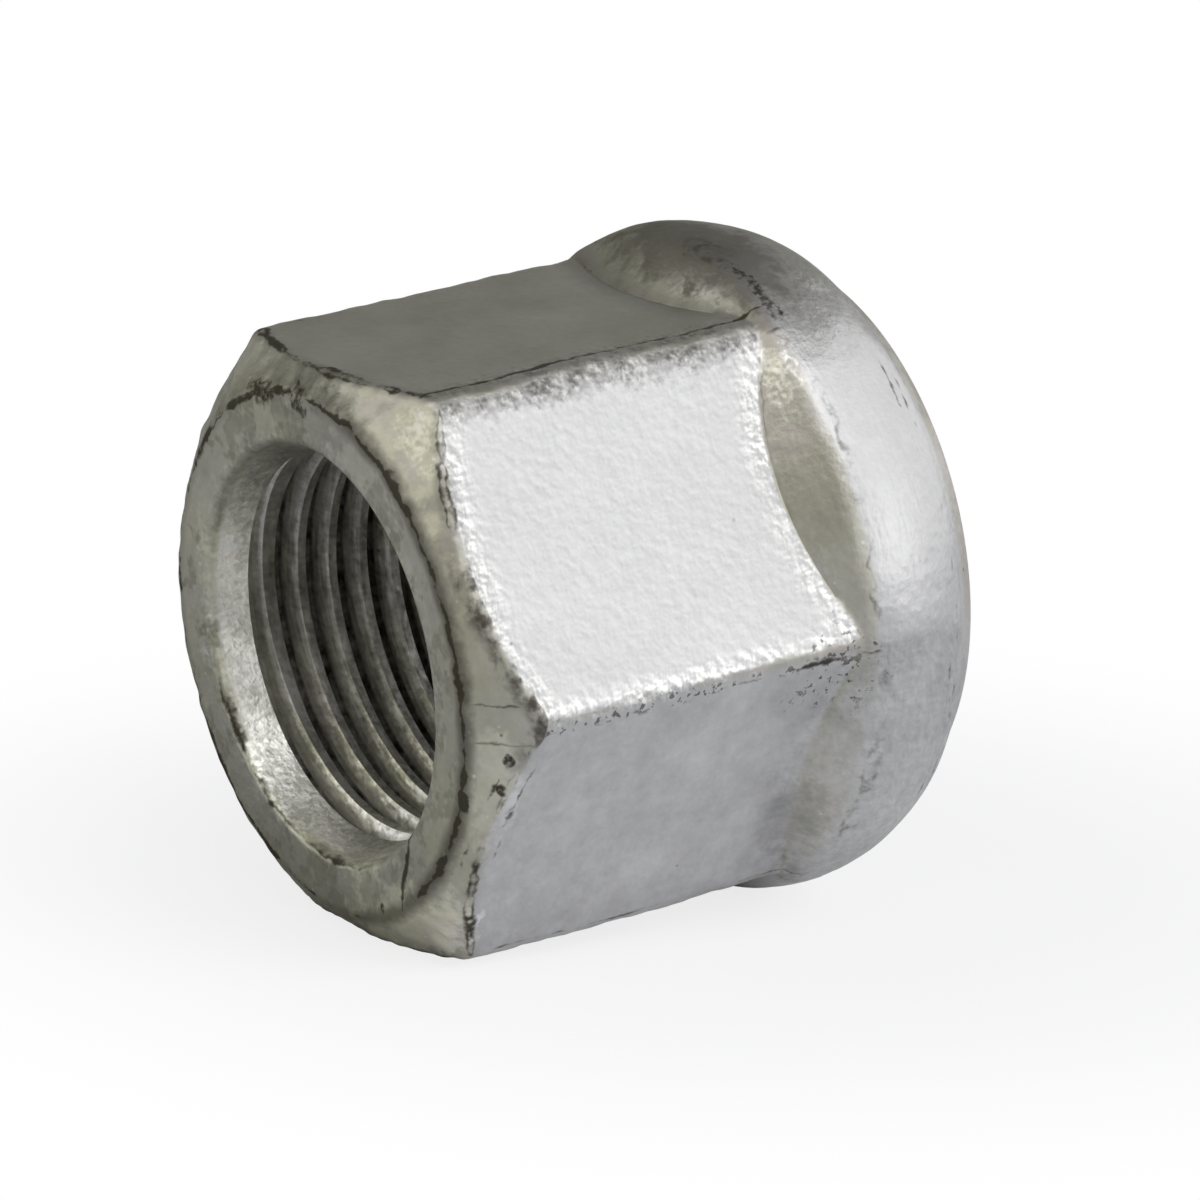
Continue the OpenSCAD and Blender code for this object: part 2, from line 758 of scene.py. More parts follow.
class Field:
    """A number that varies over a surface, written as an expression of Math nodes.

    Attributes:
        tree: The node tree that holds the nodes.
        value: A node's output socket, or a plain number.
    """

    def __init__(self, tree: Tree, value: Socket | float) -> None:
        """Wrap a socket or a number."""
        self.tree = tree
        self.value = value

    def combine(self, operation: str, *others: Field | float, clamp: bool = False) -> Field:
        """Put this value through a Math node.

        Args:
            operation: Blender's name of the operation.
            *others: The node's further inputs.
            clamp: Keep the result between 0 and 1.

        Returns:
            The node's result.
        """
        node = self.tree.nodes.new("ShaderNodeMath")
        node.operation, node.use_clamp = operation, clamp
        for socket, item in zip(node.inputs, (self, *others)):
            source = item.value if isinstance(item, Field) else item
            if isinstance(source, (int, float)):
                socket.default_value = source
            else:
                self.tree.links.new(source, socket)
        return Field(self.tree, node.outputs[0])

    def __add__(self, other: Field | float) -> Field:
        """Add."""
        return self.combine("ADD", other)

    def __sub__(self, other: Field | float) -> Field:
        """Subtract."""
        return self.combine("SUBTRACT", other)

    def __mul__(self, other: Field | float) -> Field:
        """Multiply; a factor of one needs no node."""
        return self if other == 1.0 else self.combine("MULTIPLY", other)

    def __truediv__(self, other: Field | float) -> Field:
        """Divide."""
        return self.combine("DIVIDE", other)

    def power(self, exponent: float) -> Field:
        """Raise to a power."""
        return self.combine("POWER", exponent)

    def absolute(self) -> Field:
        """Drop the sign."""
        return self.combine("ABSOLUTE")

    def clamped(self) -> Field:
        """Keep the value between 0 and 1."""
        return self.combine("MULTIPLY", 1.0, clamp=True)

    def flipped(self) -> Field:
        """Take one minus the value."""
        return Field(self.tree, 1.0).combine("SUBTRACT", self)

    def highest(self, *others: Field | float) -> Field:
        """Take the largest of several values."""
        return reduce(lambda first, other: first.combine("MAXIMUM", other), others, self)

    def lowest(self, *others: Field | float) -> Field:
        """Take the smallest of several values."""
        return reduce(lambda first, other: first.combine("MINIMUM", other), others, self)

    def ramp(self, low: float, high: float) -> Field:
        """Rise smoothly from 0 to 1 between two values, or fall if low is the larger.

        Args:
            low: Value at which the result is 0.
            high: Value at which the result is 1.

        Returns:
            The result.
        """
        node = self.tree.nodes.new("ShaderNodeMapRange")
        node.interpolation_type, node.clamp = "SMOOTHSTEP", True
        self.tree.links.new(self.value, node.inputs["Value"])
        falls = low > high
        node.inputs["From Min"].default_value = min(low, high)
        node.inputs["From Max"].default_value = max(low, high)
        node.inputs["To Min"].default_value = float(falls)
        node.inputs["To Max"].default_value = float(not falls)
        return Field(self.tree, node.outputs[0])


def new_material(name: str) -> tuple[bpy.types.Material, Tree]:
    """Add a material.

    Args:
        name: Name of the material.

    Returns:
        The material and its node tree.
    """
    material = bpy.data.materials.new(name)
    material.use_nodes = True
    return material, material.node_tree


@dataclass
class Surface:
    """Where a point of an object lies: x, y, z and the distance from the Y axis, in mm.

    Attributes:
        tree: The node tree that holds the nodes.
    """

    tree: Tree

    def __post_init__(self) -> None:
        """Read the object coordinates."""
        self.place = self.tree.nodes.new("ShaderNodeTexCoord").outputs["Object"]
        split = self.tree.nodes.new("ShaderNodeSeparateXYZ")
        self.tree.links.new(self.place, split.inputs[0])
        self.x, self.y, self.z = (Field(self.tree, out) * (1 / MM) for out in split.outputs)
        self.radius = (self.x * self.x + self.z * self.z).power(0.5)

    def vector(self, operation: str, first: Socket, *others: Sequence[float]) -> bpy.types.Node:
        """Put a vector through a Vector Math node.

        Args:
            operation: Blender's name of the operation.
            first: The vector.
            *others: The node's further inputs, as constants.

        Returns:
            The node.
        """
        node = self.tree.nodes.new("ShaderNodeVectorMath")
        node.operation = operation
        self.tree.links.new(first, node.inputs[0])
        for socket, item in zip(node.inputs[1:], others):
            socket.default_value = item
        return node

    def shifted(self, at: Socket, shift: float, aside: Place = (0.0, 0.0, 0.0)) -> Socket:
        """Return a vector moved far away, to read another part of an endless pattern."""
        far = Vector((0.1, 0.07, -0.05)) * shift
        return self.vector("ADD", at, far + Vector(aside) * MM).outputs[0]

    def turned(self, along: float, around: float, outward: float) -> Socket:
        """Return a vector that stretches a pattern round the axis, as turning marks are.

        Args:
            along: Factor on the distance along the axis.
            around: Length in mm that one radian round the axis counts as.
            outward: Factor on the distance from the axis.

        Returns:
            The vector, in metres.
        """
        join = self.tree.nodes.new("ShaderNodeCombineXYZ")
        parts = (
            self.x / self.radius * (around * MM),
            self.y * (along * MM) + self.radius * (outward * MM),
            self.z / self.radius * (around * MM),
        )
        for socket, part in zip(join.inputs, parts):
            self.tree.links.new(part.value, socket)
        return join.outputs[0]

    def noise(
        self,
        size: float,
        detail: float,
        roughness: float,
        shift: float = 0.0,
        at: Socket | None = None,
        aside: Place = (0.0, 0.0, 0.0),
    ) -> Field:
        """Make a cloudy pattern.

        Args:
            size: Size of its patches in mm.
            detail: Octaves of finer pattern.
            roughness: Strength of the finer octaves.
            shift: Moves the pattern, to tell it from others of its size.
            at: Vector to read the pattern at, in metres; the object coordinates if left out.
            aside: Small step in mm away from the place that the pattern is read at.

        Returns:
            The pattern, which varies about zero.
        """
        node = self.tree.nodes.new("ShaderNodeTexNoise")
        node.inputs["Scale"].default_value = 1 / (size * MM)
        node.inputs["Detail"].default_value = detail
        node.inputs["Roughness"].default_value = roughness
        self.tree.links.new(self.shifted(at or self.place, shift, aside), node.inputs["Vector"])
        return Field(self.tree, node.outputs[0]) - 0.5

    def dots(self, size: float, radius: float, share: float, shift: float) -> Field:
        """Make scattered round spots.

        Args:
            size: Mean distance between places where a spot may be, in mm.
            radius: Radius of a spot as a part of that distance.
            share: Part of the places that have a spot.
            shift: Moves the pattern.

        Returns:
            1 on the spots and 0 off them.
        """
        node = self.tree.nodes.new("ShaderNodeTexVoronoi")
        node.inputs["Scale"].default_value = 1 / (size * MM)
        self.tree.links.new(self.shifted(self.place, shift), node.inputs["Vector"])
        tint = self.tree.nodes.new("ShaderNodeSeparateColor")
        self.tree.links.new(node.outputs["Color"], tint.inputs[0])
        some = Field(self.tree, tint.outputs[0]).ramp(1 - share, 1 - share + 0.03)
        return Field(self.tree, node.outputs["Distance"]).ramp(radius, radius * 0.4) * some

    def mix(self, share: Field, low: Colour | Socket, high: Colour | Socket) -> Socket:
        """Blend two colours.

        Args:
            share: Share of the second colour.
            low: First colour.
            high: Second colour.

        Returns:
            The blended colour.
        """
        node = self.tree.nodes.new("ShaderNodeMix")
        node.data_type = "RGBA"
        self.tree.links.new(share.value, node.inputs["Factor"])
        for socket, item in zip((node.inputs[6], node.inputs[7]), (low, high)):
            if isinstance(item, tuple):
                socket.default_value = (*item, 1)
            else:
                self.tree.links.new(item, socket)
        return node.outputs[2]

    def near(self, place: Place, reach: Place, ragged: Field) -> Field:
        """Mark an ellipsoid with a ragged border.

        Args:
            place: Its middle in mm.
            reach: Its half axes in mm.
            ragged: Unevenness of its border.

        Returns:
            1 inside and 0 outside.
        """
        factor = [1 / (size * MM) for size in reach]
        offset = [-middle / size for middle, size in zip(place, reach)]
        scaled = self.vector("MULTIPLY_ADD", self.place, factor, offset)
        far = self.vector("LENGTH", scaled.outputs[0]).outputs["Value"]
        return (Field(self.tree, far) + ragged * 2.0).ramp(1.0, 0.5)


@dataclass
class NutSurface(Surface):
    """The parts of the nut and the patterns that break up its finish.

    Distances are in mm, masks run from 0 to 1 and patterns vary about zero.

    Attributes:
        nut: Sizes of the nut.
    """

    nut: WheelNut

    def __post_init__(self) -> None:
        """Make the masks and the patterns."""
        super().__post_init__()
        self.measure()
        self.mark_parts()
        self.make_patterns()

    def measure(self) -> None:
        """Make the distances from the nut's edges."""
        nut = self.nut
        self.facing_up = self.x * COS_30 + self.z * 0.5
        self.facing_down = self.x * COS_30 - self.z * 0.5
        first, *others = (item.absolute() for item in (self.z, self.facing_up, self.facing_down))
        self.apothem = first.highest(*others)
        self.from_corner = first.lowest(*others) * (1 / COS_30)
        # past the chamfer's cone and short of the shoulder's, along the axis
        self.behind = self.y - nut.face - (self.radius - nut.face_radius) * nut.chamfer_rise
        self.before = (self.radius - nut.apothem) * nut.shoulder_rise + nut.shoulder - self.y
        # from the edge between chamfer and flat, from that at the shoulder, from any
        self.crease = ((self.apothem - nut.apothem) * -1.27).highest(self.behind * 0.8)
        self.lap = ((self.apothem - nut.apothem) * 1.4).highest(self.before * 0.8)
        self.edge = self.from_corner.lowest(self.behind * 0.8, self.before * 0.8)

    def mark_parts(self) -> None:
        """Make the masks of the nut's parts."""
        self.outside = self.radius.ramp(9.6, 9.8)
        self.side = self.apothem.ramp(11.75, 11.9) * self.before.ramp(-0.5, -0.2)
        self.on_flat = self.side * self.behind.ramp(0.08, 0.25) * self.before.ramp(0.02, 0.2)
        self.on_bright = self.on_flat * self.facing_up.ramp(11.6, 11.85)
        self.on_top = self.z.ramp(11.5, 11.8)
        self.on_low = self.facing_down.ramp(11.3, 11.7) * self.z.ramp(0.3, -0.3) * self.outside
        self.on_chamfer = self.behind.ramp(0.3, 0.2) * self.radius.ramp(11.0, 11.2)
        past_shoulder = self.y.ramp(-5.3, -4.8) * self.before.ramp(-0.05, -0.35)
        self.on_collar = self.radius.ramp(12.2, 12.6) * past_shoulder
        self.inside = self.radius.ramp(9.15, 8.9) * self.y.ramp(-22.5, -22.2)
        self.thread = self.inside * self.y.ramp(-21.0, -20.0)
        self.lead_in = self.inside - self.thread
        self.front = self.y.ramp(-22.25, -22.5)
        self.upper = self.z.ramp(5.0, 8.0)
        self.right = self.x.ramp(-4, 6)
        # flats and the side of the collar are clean, the rest is warmer
        clean = (self.on_flat * (self.on_top * -0.5 + 1.0)).highest(self.on_collar * self.x.ramp(-4, 9))
        foot = self.z.ramp(1.0, -3.0) * self.before.ramp(0.1, -0.1) * self.outside
        self.warm = clean.highest(foot * 0.85).flipped()

    def make_patterns(self) -> None:
        """Make the patterns."""
        self.ragged = self.noise(0.9, 3, 0.6)
        self.fine = self.noise(0.28, 2, 0.55, shift=3)
        self.cloud = self.noise(3.2, 2, 0.55, shift=7)
        self.broken = self.noise(1.7, 3, 0.7, shift=11)
        self.grain = self.noise(0.42, 2, 0.55, shift=2)
        # painted light and shade: the grain read again a step aside and the difference taken, so each
        # bump looks lit on one side and shaded on the other
        shaded = self.noise(0.42, 2, 0.55, shift=2, aside=(-0.03, 0.10, 0.10))
        self.relief_shading = (self.grain - shaded) * 2.0
        self.streaks = self.noise(0.16, 1, 0.5, shift=6, at=self.turned(0.3, 0.8, 1.2))
        self.patchy = (self.ragged + self.broken * 0.6).ramp(-0.16, 0.14)
        self.half = self.patchy * 0.6 + 0.4
        # painted highlight: a lumpy bright band along the edges of the bright flat
        calm = (self.cloud + self.broken * 0.5).ramp(-0.20, 0.10)
        self.margin = self.on_bright * self.edge.ramp(1.3, 0.2) * (calm * 0.6 + 0.4)


@dataclass(frozen=True)
class Patch:
    """A ragged patch of the surface.

    Attributes:
        place: Its middle in mm.
        reach: Its half axes in mm.
        strength: How strongly it shows.
        rough: Unevenness of its border.
        torn: Whether larger bites are taken out of its border.
    """

    place: Place
    reach: Place
    strength: float = 1.0
    rough: float = 1.0
    torn: bool = False

    def share(self, spot: NutSurface) -> Field:
        """Lay the patch on the nut.

        Args:
            spot: The surface of the nut.

        Returns:
            How strongly it shows at each point.
        """
        border = spot.ragged * self.rough
        if self.torn:
            border = border + spot.broken
        return spot.near(self.place, self.reach, border) * self.strength


@dataclass(frozen=True)
class DarkLine:
    """A thin broken dark line, which changes its width on the way; it draws dirt, and painted shade
    where noted.

    Attributes:
        gap: Distance from the middle of the line in mm.
        width: Mean half width in mm.
        steady: How unbroken it is, from -1 for a few specks to 1 for a full line.
        where: Mask of the stretch that has it.
    """

    gap: Field
    width: float
    steady: Field | float
    where: Field

    def share(self, spot: NutSurface) -> Field:
        """Return how strongly the line shows at each point."""
        reach = (spot.broken * 5.0 + self.steady) * self.width
        return (reach - (self.gap + spot.ragged * 0.5).absolute()).ramp(-0.08, 0.12) * self.where


def strongest(spot: NutSurface, items: Sequence[Patch | DarkLine]) -> Field:
    """Return at each point the share of the patch or line that shows most."""
    first, *others = (item.share(spot) for item in items)
    return first.highest(*others)


@dataclass(frozen=True)
class ZincSteel:
    """Semi-matte zinc plating on forged and turned steel.

    Attributes:
        name: Name of the material.
        zinc: Colour of clean plating.
        warm: Colour of the plating on chamfer, shoulder, end face and thread.
        mauve: Colour of its stained patches.
        olive: Colour of the dull film on the end face.
        highlight_and_speck_colour: Colour of painted highlights and of small bright specks.
        grime_and_shade: Colour of the dirt in creases and pits, and of painted shade.
        roughness: Roughness of clean plating.
        painted_light_and_shade: Lighter and darker patches of painted light and painted shade.
        highlight_patches: Painted highlights on shoulder and chamfer.
        smear: Bright streak on the end face.
        lip: Painted glint on the mouth's edge.
        wall: Painted glints on the thread's wall.
        blots: Small patches of dirt.
        chip: The deepest of them, without gaps.
        shade_patches: Faint wide patches of painted shade, on top of the collar and under the
            shoulder's foot.
        crown: Darker patch on top of the collar, painted shade round its dark blot.
        foot: Chipped part at the foot of the shoulder.
    """

    name: str = "zinc_plated_steel"
    zinc: Colour = (0.66, 0.66, 0.665)
    warm: Colour = (0.60, 0.59, 0.515)
    mauve: Colour = (0.555, 0.525, 0.495)
    olive: Colour = (0.50, 0.49, 0.385)
    highlight_and_speck_colour: Colour = (0.95, 0.945, 0.91)
    grime_and_shade: Colour = (0.045, 0.036, 0.024)
    roughness: float = 0.40
    # painted light and painted shade: patches that lighten end face and chamfer, and darken the band
    # between them at the top
    painted_light_and_shade: tuple[Patch, ...] = (
        Patch((11.7, -22.0, -3.2), (2.2, 1.2, 3.8), 0.30),
        Patch((1.0, -22.3, 11.2), (3.0, 0.8, 1.1), -0.30),
        Patch((5.8, -22.2, -10.6), (5.5, 1.6, 3.4), 0.55),
        Patch((-6.2, -21.8, 11.0), (3.4, 1.4, 2.2), 0.30),
        Patch((-8.5, -22.2, 2.5), (1.2, 0.9, 3.5), 0.25),
        Patch((1.0, -22.8, 9.7), (2.6, 0.5, 1.6), -0.20, rough=2.0),
    )
    # painted highlights: cream patches on the shoulder's crescents and on the chamfer
    highlight_patches: tuple[Patch, ...] = (
        Patch((3.9, -5.7, 12.9), (3.4, 0.7, 0.9), rough=2.0),
        Patch((8.6, -5.5, 10.4), (1.9, 0.9, 2.4), rough=2.0),
        Patch((7.6, -21.3, 10.6), (2.6, 1.2, 2.4), 0.6),
    )
    smear: Patch = Patch((-9.1, -22.8, -0.8), (0.8, 0.5, 5.0), 0.55, rough=2.0)
    # painted glints at the mouth's edge and on the thread's wall
    lip: Patch = Patch((-4.6, -22.0, -7.0), (4.2, 1.2, 3.6))
    wall: Patch = Patch((-6.0, -15.0, -5.8), (2.6, 4.0, 2.8))
    blots: tuple[Patch, ...] = (
        Patch((4.0, -22.85, -9.85), (0.22, 0.40, 0.35)),
        Patch((12.35, -21.60, -1.7), (0.30, 0.40, 0.45)),
        Patch((11.85, -21.80, -2.9), (0.30, 0.40, 0.35)),
        Patch((-3.3, -22.6, 10.5), (1.6, 0.5, 0.6), torn=True),
        Patch((-0.4, -22.7, 10.6), (0.9, 0.5, 0.7), torn=True),
        Patch((2.3, -4.4, 13.8), (2.2, 0.7, 1.2), 0.8, torn=True),
        Patch((5.6, -4.3, 12.9), (2.8, 0.45, 1.5), torn=True),
    )
    chip: Patch = Patch((10.45, -22.7, -3.6), (0.34, 0.5, 0.85))
    shade_patches: tuple[Patch, ...] = (
        # painted shade: a wide soft patch on top of the collar and one under the foot of the shoulder
        Patch((1.5, -4.2, 13.8), (8.5, 3.0, 4.0), 0.63, rough=0.5),
        Patch((9.6, -6.4, -8.4), (3.0, 1.6, 3.0), 0.22, rough=0.5),
    )
    # painted shade round the dark blot on top of the collar
    crown: Patch = Patch((2.4, -4.4, 13.7), (3.4, 1.1, 1.5), rough=0.4)
    foot: Patch = Patch((13.4, -7.0, -1.2), (1.6, 4.0, 3.0))

    def plating(self, spot: NutSurface) -> Socket:
        """Colour the plating, from clean zinc to mauve stains and olive film.

        Args:
            spot: The surface of the nut.

        Returns:
            The colour before wear and dirt.
        """
        stained = (spot.cloud + spot.ragged * 0.5).ramp(-0.02, 0.18) * (spot.front * -0.7 + 1.0)
        tinted = spot.mix(stained, self.warm, self.mauve)
        colour = spot.mix(spot.warm * 0.9, self.zinc, tinted)
        dull = (spot.cloud - spot.ragged * 0.3).ramp(-0.16, 0.10) * 0.5 + 0.3
        reach = spot.y.ramp(-21.2, -22.4) * (spot.x * 0.5 + spot.z).ramp(13.0, 8.0)
        return spot.mix(reach * spot.inside.flipped() * dull, colour, self.olive)

    def tone_and_painted_light(self, spot: NutSurface) -> Field:
        """Vary the plating's brightness: clouds, painted relief shading near an edge, painted shade on
        the lower flat and in the bore, a lighter top flat, and patches of painted light and shade.

        Args:
            spot: The surface of the nut.

        Returns:
            A factor on the colour.
        """
        low = spot.on_low
        lip = (spot.radius - spot.nut.mouth).absolute().ramp(0.8, 0.2) * spot.front
        # strength of the painted relief shading: most on the bright flat and along its edges, round the
        # mouth and in the bore
        relief_shading_strength = spot.on_bright * 0.13 + spot.margin * 0.38 + lip * 0.3 + 0.10
        relief_shading_strength = relief_shading_strength + spot.inside * 0.25 + low * spot.before.ramp(1.5, -0.5) * 0.15
        total = spot.cloud * (spot.warm * 0.40 + low * 0.30 + 0.12)
        total = total + spot.ragged * (spot.warm * 0.35 + low * 0.25 + 0.10)
        # painted shade: the lower flat darker towards its bottom edge and under the foot of the
        # shoulder
        total = total - low * (spot.z.ramp(-8, -12) * 0.12 + spot.lap.ramp(2.5, 0.0) * 0.10)
        total = total + spot.relief_shading * relief_shading_strength + spot.fine * 0.10 + 1.0
        # painted shade in the bore: the thread darker towards the top and further in
        bore_shade = spot.z.ramp(-6.0, 2.0) * 0.14 + spot.y.ramp(-19.5, -14.0) * 0.20
        total = total - spot.thread * (bore_shade - spot.streaks * 1.1)
        total = total + spot.on_flat * spot.on_top * 0.22
        # patches of painted light and painted shade
        for tone in self.painted_light_and_shade:
            total = total + tone.share(spot)
        return total

    def paint_highlights_and_specks(self, spot: NutSurface) -> Field:
        """Paint highlights on edges, lead-in, thread crests, mouth and patches of shoulder and chamfer;
        add a bright streak and bright specks.

        Args:
            spot: The surface of the nut.

        Returns:
            How much painted highlight or bright speck each point takes, from 0 to 1.
        """
        ragged, fine = spot.ragged, spot.fine
        # painted highlights on shoulder and chamfer
        patch_highlight = strongest(spot, self.highlight_patches) * (ragged + spot.relief_shading * 0.3).ramp(-0.16, 0.10)
        smear = self.smear.share(spot) * spot.front * (ragged + fine * 0.6).ramp(0.00, 0.14)
        specks = spot.dots(0.55, 0.20, 0.10, shift=1) * spot.warm * spot.outside
        # painted highlight along the bright flat's edges
        margin = spot.margin * (spot.relief_shading * 2.5 + 0.35)
        # painted highlights on the lead-in and on the thread's crests, brightest low down
        crest = spot.radius.ramp(8.75, 8.35) * (fine + ragged).ramp(-0.12, 0.10)
        lead_in = spot.lead_in * (crest * 0.5 + 0.35)
        thread = spot.thread * (crest * (spot.z.ramp(-2.0, -6.0) * 0.6 + 0.25) + 0.12)
        # painted glints at the mouth's lower edge and on the thread's wall
        lip = self.lip.share(spot) * (ragged + fine).ramp(-0.15, 0.05) * spot.radius.ramp(8.98, 8.85)
        wall = self.wall.share(spot) * (fine + ragged * 0.5).ramp(0.05, 0.14)
        return margin.highest(specks * 0.7, patch_highlight, smear, lead_in, thread, lip, wall).clamped()

    def lines(self, spot: NutSurface) -> Field:
        """Draw thin dark lines along the nut's edges: dirt, and painted shade at the end face's rounded
        rim and under the shoulder's lip.

        Args:
            spot: The surface of the nut.

        Returns:
            How dark each point is made by the lines.
        """
        x, y, z, front, right = spot.x, spot.y, spot.z, spot.front, spot.right
        face_rim = spot.radius - spot.nut.face_radius
        mouth_rim = spot.radius - spot.nut.mouth - 0.05
        near_crease = spot.behind.ramp(1.2, 0.8)
        fold_ends = z.ramp(-5.6, -6.0) * z.ramp(-10.4, -9.8) * x.ramp(4.0, 4.6)
        low_crease = z.ramp(-1.0, -1.6) * z.ramp(-7.5, -6.0) * x.ramp(6.0, 7.0)
        crusted = (z.absolute().ramp(6.0, 8.0) * 1.2 - 0.3).highest(z.ramp(0.0, -1.0) * 0.5 - 0.4)
        top_corner = z.ramp(8.5, 9.5) * x.ramp(3, 4) * 1.7 - 0.6
        low_corner = spot.side * x.ramp(12.0, 12.6)
        past_shoulder = spot.before.ramp(-0.5, -0.2) * (right * -0.5 + 1.0)
        hairlines = spot.on_chamfer * x.ramp(0, 1)
        lines = (
            # round the end face and over its fold
            # painted shade: dark band on the rounded rim of the end face, strongest on the left
            DarkLine(face_rim + 0.12, 0.22, right * -1.8 + 0.4, front),
            # dark core of the groove round the end face, which is not modelled: dirt, and painted shade
            # of the groove
            DarkLine(face_rim, 0.14, right * 0.7 + 0.5 - z.ramp(-8.2, -9.0) * 1.2, front),
            DarkLine(x - z * 0.30 - 8.25, 0.12, 1.0, front * fold_ends),
            DarkLine(mouth_rim, 0.12, z.ramp(-1.0, -5.0) * 0.9 - 0.4, front * x.ramp(4, 2)),
            # between chamfer and flats, and across the chamfer
            DarkLine(spot.crease - 0.6, 0.20, -0.05, near_crease * low_crease),
            DarkLine(spot.crease - 0.12, 0.11, crusted, near_crease),
            DarkLine(z - 0.72, 0.05, 0.7, hairlines),
            DarkLine(z + 0.95, 0.05, 0.7, hairlines),
            # along the corners of the hexagon
            DarkLine(spot.from_corner - 0.8, 0.13, top_corner, spot.side * z.ramp(11.4, 11.9)),
            DarkLine(spot.from_corner - 0.5, 0.12, 0.1, spot.side * z.ramp(-9, -10)),
            DarkLine(z + 0.45, 0.14, y.ramp(-11, -8) * 0.9 - 0.4, low_corner),
            # at the shoulder and round the collar
            # painted shadow: thin line under the shoulder's lip, on its upper side
            DarkLine(spot.lap - 0.02, 0.05, spot.upper * 1.4 - 0.5, past_shoulder),
            DarkLine(spot.radius - 13.95, 0.08, -0.4, y.ramp(-4.0, -4.4) * spot.outside),
            DarkLine(y + 1.0, 0.15, right * 0.3 - 0.7, spot.outside),
            DarkLine(y + 0.5, 0.15, right * 0.3 - 0.6, spot.outside),
        )
        return strongest(spot, lines)

    def stains_and_shade(self, spot: NutSurface) -> Field:
        """Stain the nut under edges and along corners, and paint shade round the end face, in the
        creases by the flats and shoulder, on top of the collar and under its foot.

        Args:
            spot: The surface of the nut.

        Returns:
            How much stain and painted shade each point takes.
        """
        ragged, right, half = spot.ragged, spot.right, spot.half
        near_crease = spot.behind.ramp(1.2, 0.8)
        under_rim = spot.on_chamfer * spot.x.ramp(6, 9) * spot.z.ramp(-3, 0) * spot.upper.flipped()
        top_corner = spot.z.ramp(8.5, 9.5) * spot.x.ramp(3, 4) * spot.on_flat
        rim = (spot.radius - spot.nut.face_radius + ragged * 0.5).absolute()
        ring = spot.front * spot.outside.flipped().highest(rim.ramp(2.2, 0.8))
        stains_and_shade = (
            spot.warm * spot.outside * spot.patchy * 0.12,
            under_rim * (spot.crease + ragged * 1.5).ramp(1.0, 0.3) * spot.patchy * 0.85,
            top_corner * (spot.from_corner + (ragged + spot.fine) * 2.0).ramp(1.6, 0.3) * half * 0.75,
            # painted shade: soft band of the unmodelled groove round the end face
            spot.front * rim.ramp(0.7, 0.05) * (right * 0.40 + 0.30),
            ring * (spot.broken + spot.cloud * 0.5).ramp(0.00, 0.12) * 0.34,
            # painted shade: bands on the top flat under the shoulder's lip, along the crease of chamfer
            # and flats, and on the shoulder's side of its crease
            spot.on_top * spot.lap.ramp(1.3, 0.1) * spot.side * 0.45,
            spot.crease.ramp(0.6, 0.05) * near_crease * (spot.upper * 0.25 + 0.2) * half,
            spot.lap.ramp(1.0, 0.1) * spot.upper * spot.side.flipped() * half * 0.35,
            # painted shade round the dark blot on top of the collar
            self.crown.share(spot) * (half * 0.4 + 0.45),
        )
        # wide patches of painted shade, with the stains and bands above
        return strongest(spot, self.shade_patches).highest(*stains_and_shade)

    def specks(self, spot: NutSurface) -> Field:
        """Fill pits, and chips along the lower corner, with dirt.

        Args:
            spot: The surface of the nut.

        Returns:
            How dirty each point is.
        """
        foot = self.foot.share(spot) * spot.lap.ramp(3.0, 1.0)
        corner = (spot.z + 0.25).absolute().ramp(0.5, 0.2) * spot.side * spot.x.ramp(12.0, 12.6)
        chips = (spot.fine + spot.ragged * 0.6).ramp(0.08, 0.15) * foot.highest(corner)
        return spot.dots(1.3, 0.10, 0.07, shift=5).highest(chips)

    def dirt_and_shade(self, spot: NutSurface) -> Field:
        """Gather all the dirt and the painted shade.

        Args:
            spot: The surface of the nut.

        Returns:
            How dark each point is made by dirt and painted shade, from 0 to 1.
        """
        blots = strongest(spot, self.blots) * (spot.fine + spot.broken).ramp(-0.36, 0.08)
        marks = self.lines(spot).highest(blots, self.chip.share(spot))
        # dirt and painted shade in the roots of the thread's grooves
        root = spot.radius.ramp(8.78, 8.92) * spot.radius.ramp(9.35, 9.1) * spot.y.ramp(-21.6, -21.2)
        groove_grime_and_shade = root * (spot.ragged * 1.5 + 0.75)
        return (marks * 0.92).highest(self.specks(spot) * 0.7, self.stains_and_shade(spot), groove_grime_and_shade).lowest(1.0)

    def relief(self, spot: NutSurface) -> Socket:
        """Emboss a leathery grain all over and turning marks on the collar.

        Args:
            spot: The surface of the nut.

        Returns:
            The normal.
        """
        marks = spot.noise(0.25, 1, 0.5, shift=4, at=spot.turned(1.0, 3.0, 0.7))
        node = spot.tree.nodes.new("ShaderNodeBump")
        node.inputs["Strength"].default_value = 1.0
        node.inputs["Distance"].default_value = MM
        height = spot.grain * 0.035 + (marks + 0.5) * spot.on_collar * 0.02
        spot.tree.links.new(height.value, node.inputs["Height"])
        return node.outputs[0]

    def material(self, nut: WheelNut) -> bpy.types.Material:
        """Make the material.

        Args:
            nut: Sizes that the finish is laid out with.

        Returns:
            The material.
        """
        material, tree = new_material(self.name)
        shader = tree.nodes["Principled BSDF"]
        shader.inputs["Metallic"].default_value = 1.0
        spot = NutSurface(tree, nut)
